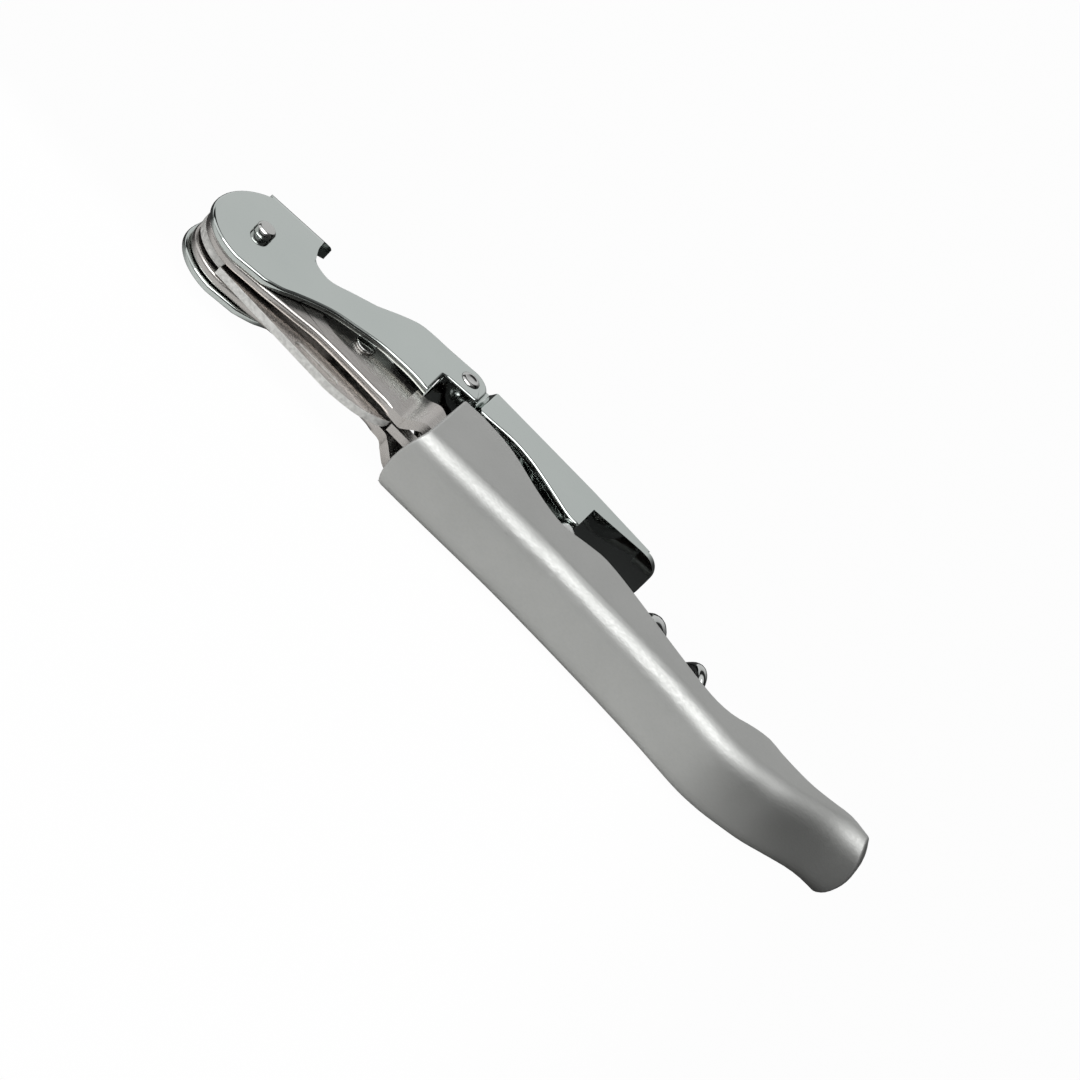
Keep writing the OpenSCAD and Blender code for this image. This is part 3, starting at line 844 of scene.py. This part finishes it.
@dataclass
class Worm:
    """The bent wire: an eye, a flat shank and a coil."""

    pin: tuple[float, float] = (26.8, 10.1)
    length: float = 63.0
    pitch: float = 8.4
    middle_r: float = 2.85
    wire_r: float = 1.4
    # The coil's wire starts inside the shank, which ends a little further on
    coil_from: float = 38.2
    shank_to: float = 39.0
    # The coil opens over this part of its first turn
    open_turn: float = 0.6
    point_turn_deg: float = 162.0
    point_len: float = 7.56
    point_r: float = 0.17
    lean_deg: float = 0.45
    turn_steps: int = 40
    sharp_deg: float = 50.0
    finish: MetalFinish = WIRE

    def centre(self, x: float) -> Vector:
        """The wire's middle, leaned as the folded worm lies.

        Args:
            x: Distance from the head end, in millimetres.

        Returns:
            The point in the row frame.
        """
        share = min(max((x - self.coil_from) / (self.pitch * self.open_turn), 0.0), 1.0)
        out = self.middle_r * share * share * (3 - 2 * share)
        turn = math.radians(self.point_turn_deg + 360 * (x - self.pin[0] - self.length) / self.pitch)
        flat = Vector((x - self.pin[0], out * math.cos(turn), out * math.sin(turn)))
        leaned = Matrix.Rotation(math.radians(self.lean_deg), 3, "Z") @ flat
        return bench(self.pin[0] + leaned.x, self.pin[1] + leaned.y, leaned.z)

    def radius(self, x: float) -> float:
        """The wire's radius in millimetres at a distance from the head end, drawn out to the point."""
        left = min(max((self.pin[0] + self.length - x) / self.point_len, 0.0), 1.0)
        return self.point_r + (self.wire_r - self.point_r) * math.sqrt(left)

    def wire(self) -> bpy.types.Object:
        """Sweeps the coil.

        Returns:
            The coil as a mesh.
        """
        reach = self.pin[0] + self.length - self.coil_from
        count = math.ceil(reach / self.pitch * self.turn_steps)
        curve = bpy.data.curves.new("worm_coil", "CURVE")
        curve.dimensions = "3D"
        curve.bevel_depth = MM
        curve.bevel_resolution = 6
        curve.use_fill_caps = True
        spline = curve.splines.new("POLY")
        spline.points.add(count)
        for number, point in enumerate(spline.points):
            x = self.coil_from + reach * number / count
            point.co = (*self.centre(x), 1.0)
            point.radius = self.radius(x)
        coil = bpy.data.objects.new("worm_coil", curve)
        bpy.context.scene.collection.objects.link(coil)
        make_active(coil)
        bpy.ops.object.convert(target="MESH")
        return bpy.context.object

    def build(self) -> None:
        """Makes the worm and puts it on its body."""
        piece = solid_copy("worm", "worm_wire")
        make_active(piece)
        bpy.ops.object.mode_set(mode="EDIT")
        bpy.ops.mesh.select_all(action="SELECT")
        bpy.ops.mesh.bisect(
            plane_co=bench(self.shank_to, 0, 0),
            plane_no=(1, 0, 0),
            clear_outer=True,
            use_fill=True,
        )
        bpy.ops.object.mode_set(mode="OBJECT")
        coil = self.wire()
        coil.select_set(True)
        piece.select_set(True)
        bpy.context.view_layer.objects.active = piece
        bpy.ops.object.join()
        smooth(piece, self.sharp_deg)
        place(piece, Body.WORM, self.finish.build(), ["worm"])


@dataclass
class Rivets:
    """The head rivet, the worm's pin and the joint rivet."""

    edge_mm: float = 0.1
    sharp_deg: float = 40.0
    smooth_deg: float = 50.0
    joint: tuple[float, float] = (39.4, 20.3)
    # The joint rivet's domes stand on the plates' outer faces. Their middle sinks to this share of their
    # height, inside the ring.
    plate_out: float = 3.65
    slack: float = 0.02
    ring_mm: float = 1.05
    sunk_share: float = 0.35
    finish: MetalFinish = RIVET

    def dish(self, piece: bpy.types.Object) -> None:
        """Sinks the middle of the joint rivet's domes, as a rolled eyelet has it.

        Args:
            piece: The joint rivet.
        """
        for vertex in piece.data.vertices:
            point = (vertex.co - BENCH) / MM
            across = math.hypot(point.x - self.joint[0], point.y - self.joint[1])
            over = abs(point.z) - self.plate_out
            if over > self.slack and across < self.ring_mm:
                left = self.sunk_share + (1 - self.sunk_share) * (across / self.ring_mm) ** 3
                vertex.co.z = BENCH.z + math.copysign(self.plate_out + over * left, point.z) * MM

    def build(self) -> None:
        """Makes the three rivets, each on the body that holds it."""
        steel = self.finish.build()
        for node, name, body in (
            ("head_rivet", "head_rivet_pin", Body.HANDLE),
            ("worm_pin", "worm_pin_shaft", Body.HANDLE),
            ("joint_rivet", "joint_rivet_pin", Body.LEVER),
        ):
            piece = solid_copy(node, name)
            if node == "joint_rivet":
                self.dish(piece)
            round_edges(piece, lambda a, b: self.edge_mm, segments=2, sharp_deg=self.sharp_deg)
            smooth(piece, self.smooth_deg)
            place(piece, body, steel, [node])


@dataclass(frozen=True)
class Softbox:
    """A rectangular lamp that faces the object.

    Attributes:
        name: The lamp's name.
        azimuth: Its side in degrees, 0 on the camera's side and 90 at the tail.
        elevation: Its height above the floor in degrees.
        distance: How far from the object it hangs, in metres.
        size: Its width and height in metres.
        watts: Its power.
    """

    name: str
    azimuth: float
    elevation: float
    distance: float
    size: tuple[float, float]
    watts: float

    def hang(self) -> None:
        """Hangs the lamp in its place."""
        lamp = bpy.data.lights.new(self.name, "AREA")
        lamp.shape = "RECTANGLE"
        lamp.size, lamp.size_y = self.size
        lamp.energy = self.watts
        holder = bpy.data.objects.new(self.name, lamp)
        bpy.context.scene.collection.objects.link(holder)
        turn, rise = math.radians(self.azimuth), math.radians(self.elevation)
        away = Vector((math.sin(turn) * math.cos(rise), -math.cos(turn) * math.cos(rise), math.sin(rise)))
        holder.location = away * self.distance
        holder.rotation_mode = "QUATERNION"
        holder.rotation_quaternion = away.to_track_quat("Z", "Y")


@dataclass
class Studio:
    """The pale floor, the soft light and the camera."""

    elevation_deg: float = 31.0
    roll_deg: float = 45.6
    distance: float = 0.7282
    focal_px: float = 5600.0
    image_px: float = 1080.0
    sensor_mm: float = 36.0
    # The camera sees between these distances, in metres
    clip: tuple[float, float] = (0.01, 20.0)
    aim: tuple[float, float, float] = (0.0007, -0.000075, 0.0057)
    floor_size: float = 6.0
    paper: str = "#DADAD9"
    # The colour of two patches of painted shadow on the floor, and where they begin and are full, in metres,
    # towards the tail and towards the back
    painted_shadow: str = "#262626"
    tail_shadow: tuple[float, float] = (0.03, 0.06)
    back_shadow: tuple[float, float] = (-0.012, -0.003)
    # Shares of plain white that the camera and a mirror see on the floor, which leave the rest for the shadow
    seen_white: float = 0.98
    mirrored_white: float = 0.03
    # Light from the surround at angles over the floor, from behind the object over its top to its front,
    # with the dark of the camera's own place at 149 degrees
    surround: tuple[tuple[float, float], ...] = (
        (0, 0.85), (26, 0.76), (36, 0.7), (41, 0.03), (60, 0.03), (67, 0.9), (86, 1.0), (120, 1.0),
        (138, 0.75), (142, 0.6), (144, 0.03), (154, 0.03), (157, 0.45), (179, 0.4)
    )
    # The surround falls off to this share between these two shares of the way to the tail's side
    tail_share: float = 0.06
    tail_fall: tuple[float, float] = (-0.03, 0.5)
    key: Softbox = Softbox("key_overhead_left", -24, 64, 1.2, (1.2, 0.9), 12)

    def matte(self, tree: bpy.types.NodeTree) -> bpy.types.NodeSocket:
        """Makes the floor's paper, darkened by painted shadow towards the tail and behind the object.

        Args:
            tree: The floor's node tree.

        Returns:
            The floor as light shows it.
        """
        where = add_node(tree, "ShaderNodeTexCoord").outputs["Object"]
        along = add_node(tree, "ShaderNodeSeparateXYZ", Vector=where)
        # Painted shadow: the paper darkens towards the tail and behind the object, where the metal mirrors
        # the floor
        shadows = [
            add_node(
                tree,
                "ShaderNodeMapRange",
                Value=along.outputs[axis],
                From_Min=reach[0],
                From_Max=reach[1],
            ).outputs["Result"]
            for axis, reach in (("X", self.tail_shadow), ("Y", self.back_shadow))
        ]
        darker = add_node(tree, "ShaderNodeMath", {"operation": "MAXIMUM"}, i0=shadows[0], i1=shadows[1])
        colour = add_node(
            tree,
            "ShaderNodeMix",
            COLOUR_MIX,
            i0=darker.outputs[0],
            i6=linear(self.paper),
            i7=linear(self.painted_shadow),
        )
        return add_node(tree, "ShaderNodeBsdfDiffuse", Color=colour.outputs[2]).outputs[0]

    def white_share(self, tree: bpy.types.NodeTree) -> bpy.types.NodeSocket:
        """Works out how much plain white a ray sees on the floor.

        Args:
            tree: The floor's node tree.

        Returns:
            The share, from 0 to 1.
        """
        path = add_node(tree, "ShaderNodeLightPath")
        seen = add_node(
            tree,
            "ShaderNodeMath",
            {"operation": "MULTIPLY"},
            i0=path.outputs["Is Camera Ray"],
            i1=self.seen_white,
        )
        mirrored = add_node(
            tree,
            "ShaderNodeMath",
            {"operation": "MAXIMUM"},
            i0=path.outputs["Is Glossy Ray"],
            i1=path.outputs["Is Transmission Ray"],
        )
        share = add_node(
            tree,
            "ShaderNodeMath",
            {"operation": "MULTIPLY_ADD"},
            i0=mirrored.outputs[0],
            i1=self.mirrored_white,
            i2=seen.outputs[0],
        )
        return share.outputs[0]

    def floor(self) -> None:
        """Lays a pale floor that reads as white and keeps the object's shadow."""
        deselect()
        bpy.ops.mesh.primitive_plane_add(size=self.floor_size)
        floor = bpy.context.object
        floor.name = "floor"
        material = bpy.data.materials.new("pale_floor")
        material.use_nodes = True
        tree = material.node_tree
        tree.nodes.clear()
        white = add_node(tree, "ShaderNodeEmission", Color=(1, 1, 1, 1), Strength=1.0)
        both = add_node(
            tree,
            "ShaderNodeMixShader",
            i0=self.white_share(tree),
            i1=self.matte(tree),
            i2=white.outputs[0],
        )
        add_node(tree, "ShaderNodeOutputMaterial", Surface=both.outputs[0])
        floor.data.materials.append(material)

    def surround_light(self, tree: bpy.types.NodeTree) -> bpy.types.NodeSocket:
        """Makes the bands of light and dark that the metal mirrors.

        Args:
            tree: The world's node tree.

        Returns:
            The light's colour in each direction.
        """
        way = add_node(tree, "ShaderNodeTexCoord").outputs["Generated"]
        axes = add_node(tree, "ShaderNodeSeparateXYZ", Vector=way)
        turn = add_node(
            tree,
            "ShaderNodeMath",
            {"operation": "ARCTAN2"},
            i0=axes.outputs["Z"],
            i1=axes.outputs["Y"],
        )
        half_turns = add_node(
            tree,
            "ShaderNodeMath",
            {"operation": "DIVIDE"},
            i0=turn.outputs[0],
            i1=math.pi,
        )
        ramp = add_node(tree, "ShaderNodeValToRGB", Fac=half_turns.outputs[0])
        stops = ramp.color_ramp.elements
        while len(stops) > 1:
            stops.remove(stops[-1])
        for number, (degrees, light) in enumerate(self.surround):
            stop = stops[0] if number == 0 else stops.new(degrees / 180)
            stop.position = degrees / 180
            stop.color = (light, light, light, 1.0)
        dim = add_node(
            tree,
            "ShaderNodeMapRange",
            Value=axes.outputs["X"],
            From_Min=self.tail_fall[0],
            From_Max=self.tail_fall[1],
            To_Min=1.0,
            To_Max=self.tail_share,
        )
        sided = add_node(
            tree,
            "ShaderNodeMix",
            COLOUR_MIX | {"blend_type": "MULTIPLY"},
            i0=1.0,
            i6=ramp.outputs["Color"],
            i7=dim.outputs["Result"],
        )
        return sided.outputs[2]

    def world(self) -> None:
        """Sets the surround round the object, with plain white behind it for the camera."""
        world = bpy.data.worlds.new("studio")
        bpy.context.scene.world = world
        world.use_nodes = True
        tree = world.node_tree
        tree.nodes.clear()
        tint = add_node(
            tree,
            "ShaderNodeMix",
            COLOUR_MIX,
            i0=add_node(tree, "ShaderNodeLightPath").outputs["Is Camera Ray"],
            i6=self.surround_light(tree),
            i7=(1, 1, 1, 1),
        )
        light = add_node(tree, "ShaderNodeBackground", Color=tint.outputs[2], Strength=1.0)
        add_node(tree, "ShaderNodeOutputWorld", Surface=light.outputs[0])

    def camera(self) -> None:
        """Sets the camera at the photograph's angle, rolled as the photograph is."""
        rise = math.radians(self.elevation_deg)
        roll = math.radians(self.roll_deg)
        ahead = Vector((0, math.cos(rise), -math.sin(rise)))
        level = Vector((1, 0, 0))
        upright = Vector((0, math.sin(rise), math.cos(rise)))
        right = math.cos(roll) * level + math.sin(roll) * upright
        up = -math.sin(roll) * level + math.cos(roll) * upright
        data = bpy.data.cameras.new("camera")
        data.sensor_width = self.sensor_mm
        data.lens = self.focal_px * self.sensor_mm / self.image_px
        data.clip_start, data.clip_end = self.clip
        camera = bpy.data.objects.new("camera", data)
        bpy.context.scene.collection.objects.link(camera)
        turned = Matrix((right, up, -ahead)).transposed().to_4x4()
        camera.matrix_world = Matrix.Translation(Vector(self.aim) - ahead * self.distance) @ turned
        bpy.context.scene.camera = camera

    def build(self) -> None:
        """Makes the camera, the floor and the light."""
        bpy.context.scene.view_settings.view_transform = "Standard"
        self.camera()
        self.floor()
        self.world()
        self.key.hang()


def main() -> None:
    """Builds every sub-assembly in order."""
    logging.basicConfig(level=logging.INFO, format="%(name)s: %(message)s")
    Studio().build()
    for part in (HandleShell(), NeckFrame(), Knife(), Worm(), LeverArm(), FootArm(), Rivets()):
        part.build()
    deselect()


if __name__ == "__main__":
    main()
